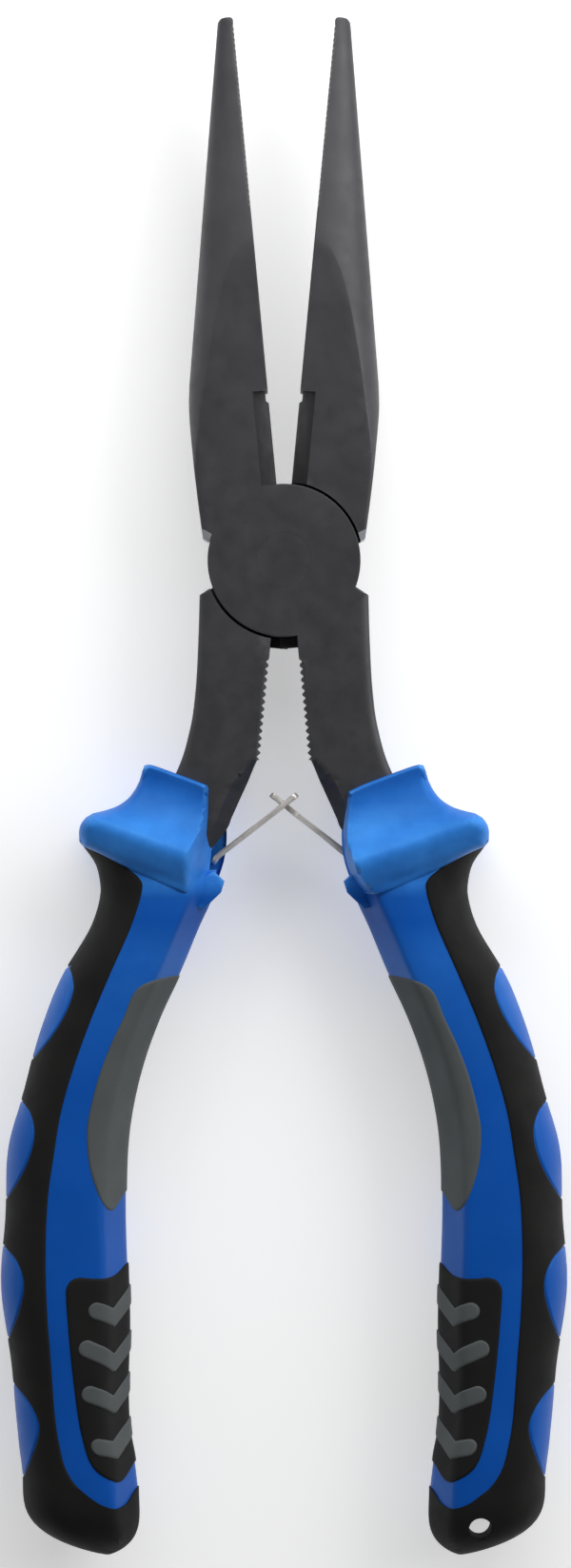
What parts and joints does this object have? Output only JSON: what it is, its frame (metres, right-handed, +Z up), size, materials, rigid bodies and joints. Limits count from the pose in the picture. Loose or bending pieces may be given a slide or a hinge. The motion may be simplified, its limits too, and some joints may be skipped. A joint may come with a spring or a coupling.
{
  "type": "fishing pliers",
  "caption": "Long-nose fishing pliers with side cutters, a spring-opened lap joint and moulded blue and black grips with thumb guards.",
  "frame": {"origin": "on the pivot axis, at the flat back face of the joint", "axes": "+Y from the pivot to the jaw tips, +X to the right-hand grip, +Z up along the pivot axis, out of the front face"},
  "size_m": [0.0774, 0.2098, 0.0202],
  "materials": {
    "blackened_steel": "matt black oxide",
    "spring_steel": "bright",
    "blue_plastic": "semi-gloss",
    "black_rubber": "matt",
    "grey_rubber": "matt"
  },
  "bodies": {
    "left_half": {"lever_back": "blackened_steel", "pivot_rivet": "blackened_steel", "left_grip_core": "blue_plastic", "left_overmould": "black_rubber", "left_palm_panel": "black_rubber", "left_inlay": "grey_rubber", "left_chevron_1": "grey_rubber", "left_chevron_2": "grey_rubber", "left_chevron_3": "grey_rubber", "left_chevron_4": "grey_rubber"},
    "right_half": {"lever_front": "blackened_steel", "right_grip_core": "blue_plastic", "right_overmould": "black_rubber", "right_palm_panel": "black_rubber", "right_inlay": "grey_rubber", "right_chevron_1": "grey_rubber", "right_chevron_2": "grey_rubber", "right_chevron_3": "grey_rubber", "right_chevron_4": "grey_rubber"},
    "left_spring_leaf": {"left_spring": "spring_steel"},
    "right_spring_leaf": {"right_spring": "spring_steel"}
  },
  "joints": [
    {"name": "jaw_pivot", "type": "hinge", "parent": "left_half", "child": "right_half", "pos_m": [0, 0, 0.005], "axis": [0, 0, 1], "range_deg": [-10.6, 9], "stiffness_Nm_per_rad": 2},
    {"name": "right_spring_root", "type": "hinge", "parent": "right_half", "child": "right_spring_leaf", "pos_m": [0.0098, -0.0413, 0.005], "axis": [0, 0, 1], "range_deg": [-20.5, 17.5]},
    {"name": "left_spring_root", "type": "hinge", "parent": "left_half", "child": "left_spring_leaf", "pos_m": [-0.0098, -0.0413, 0.005], "axis": [0, 0, 1], "range_deg": [-17.5, 20.5]}
  ],
  "couplings": [
    {"joint": "right_spring_root", "follows": "jaw_pivot", "ratio": 1.836},
    {"joint": "left_spring_root", "follows": "jaw_pivot", "ratio": -1.836}
  ]
}
